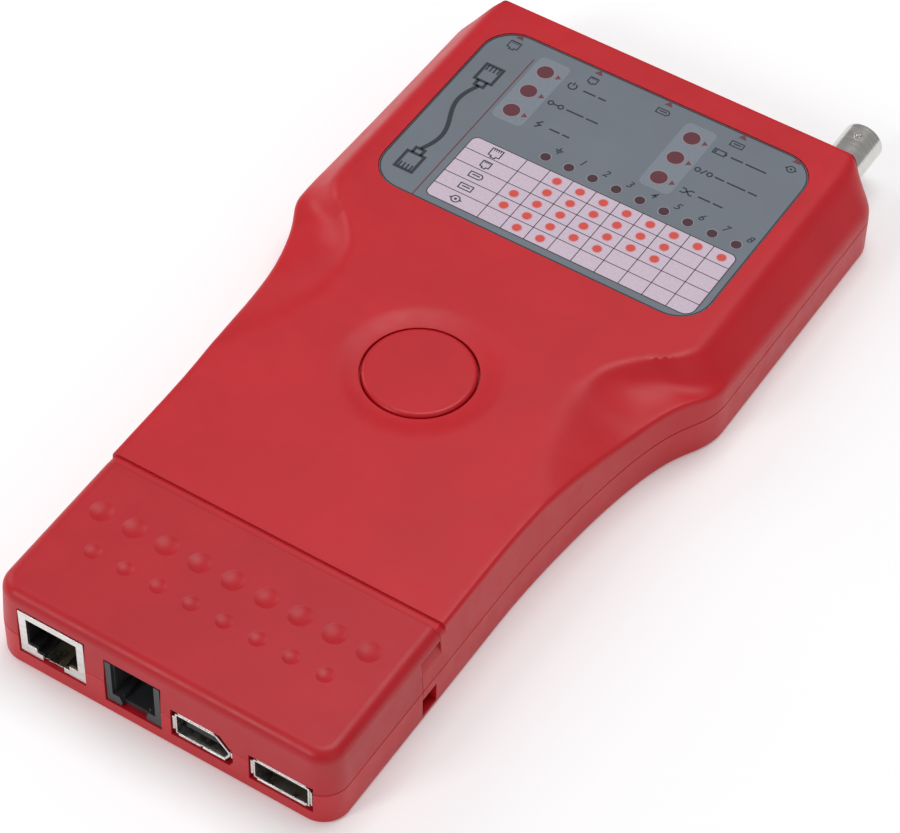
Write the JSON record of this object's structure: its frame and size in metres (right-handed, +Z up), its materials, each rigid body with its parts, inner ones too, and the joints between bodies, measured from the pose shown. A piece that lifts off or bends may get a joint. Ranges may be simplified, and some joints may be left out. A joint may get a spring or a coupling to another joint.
{
  "type": "network cable tester",
  "caption": "Two-piece pocket cable tester: long flat main unit with a wide head, status lights, test button and coaxial port, and a slide-off remote unit with sockets.",
  "frame": {"origin": "centre of the footprint, on the surface that the tester lies on", "axes": "+Z up out of the label, +Y along the length towards the coaxial connector, +X to the right seen from the remote end"},
  "size_m": [0.1076, 0.216, 0.0213],
  "materials": {
    "red_shell": "semi-matte moulded ABS with a fine spark texture",
    "button_red": "semi-matte moulded ABS, slightly smoother than the shells",
    "label_grey": "printed polycarbonate overlay",
    "tinned_steel": "tin-plated sheet steel",
    "port_black": "moulded thermoplastic",
    "gold_contact": "gold-plated contacts",
    "nickel": "nickel-plated brass",
    "white_insulator": "fluoropolymer insulator",
    "board_green": "glass-epoxy board with solder mask",
    "led_lens": "dark tinted lens",
    "screw_steel": "zinc-plated steel",
    "battery_can": "printed steel can",
    "snap_black": "flexible vinyl",
    "lead_red": "vinyl insulation",
    "chip_black": "moulded epoxy"
  },
  "bodies": {
    "main": {"battery_9v": "battery_can", "battery_lead_black": "snap_black", "battery_lead_red": "lead_red", "battery_snap": "snap_black", "board_headers": "chip_black", "coax_body": "nickel", "coax_contact": "gold_contact", "coax_insulator": "white_insulator", "coax_nut": "nickel", "controller_chip": "chip_black", "display_board": "board_green", "driver_chips": "chip_black", "far_firewire_contacts": "gold_contact", "far_firewire_shell": "tinned_steel", "far_firewire_tongue": "port_black", "far_rj11_contacts": "gold_contact", "far_rj11_housing": "port_black", "far_rj45_contacts": "gold_contact", "far_rj45_insert": "port_black", "far_rj45_shield": "tinned_steel", "far_usb_contacts": "gold_contact", "far_usb_shell": "tinned_steel", "far_usb_tongue": "port_black", "label_plate": "label_grey", "main_board": "board_green", "main_lower_shell": "red_shell", "main_screws": "screw_steel", "main_upper_shell": "red_shell", "mode_leds": "led_lens", "switch_base": "chip_black", "wire_leds": "led_lens"},
    "remote": {"load_resistors": "chip_black", "near_firewire_contacts": "gold_contact", "near_firewire_shell": "tinned_steel", "near_firewire_tongue": "port_black", "near_rj11_contacts": "gold_contact", "near_rj11_housing": "port_black", "near_rj45_contacts": "gold_contact", "near_rj45_insert": "port_black", "near_rj45_shield": "tinned_steel", "near_usb_contacts": "gold_contact", "near_usb_shell": "tinned_steel", "near_usb_tongue": "port_black", "remote_board": "board_green", "remote_lower_shell": "red_shell", "remote_screws": "screw_steel", "remote_upper_shell": "red_shell"},
    "button": {"test_button": "button_red", "switch_plunger": "chip_black"},
    "door": {"battery_door": "red_shell"}
  },
  "joints": [
    {"name": "remote_slide", "type": "slide", "parent": "main", "child": "remote", "axis": [0, -1, 0], "range_m": [0, 0.06]},
    {"name": "button_press", "type": "slide", "parent": "main", "child": "button", "axis": [0, 0, -1], "range_m": [0, 0.001], "stiffness_N_per_m": 800, "springref_m": -0.0005},
    {"name": "door_hinge", "type": "hinge", "parent": "main", "child": "door", "pos_m": [0, -0.0623, 0], "axis": [-1, 0, 0], "range_deg": [0, 70]}
  ]
}
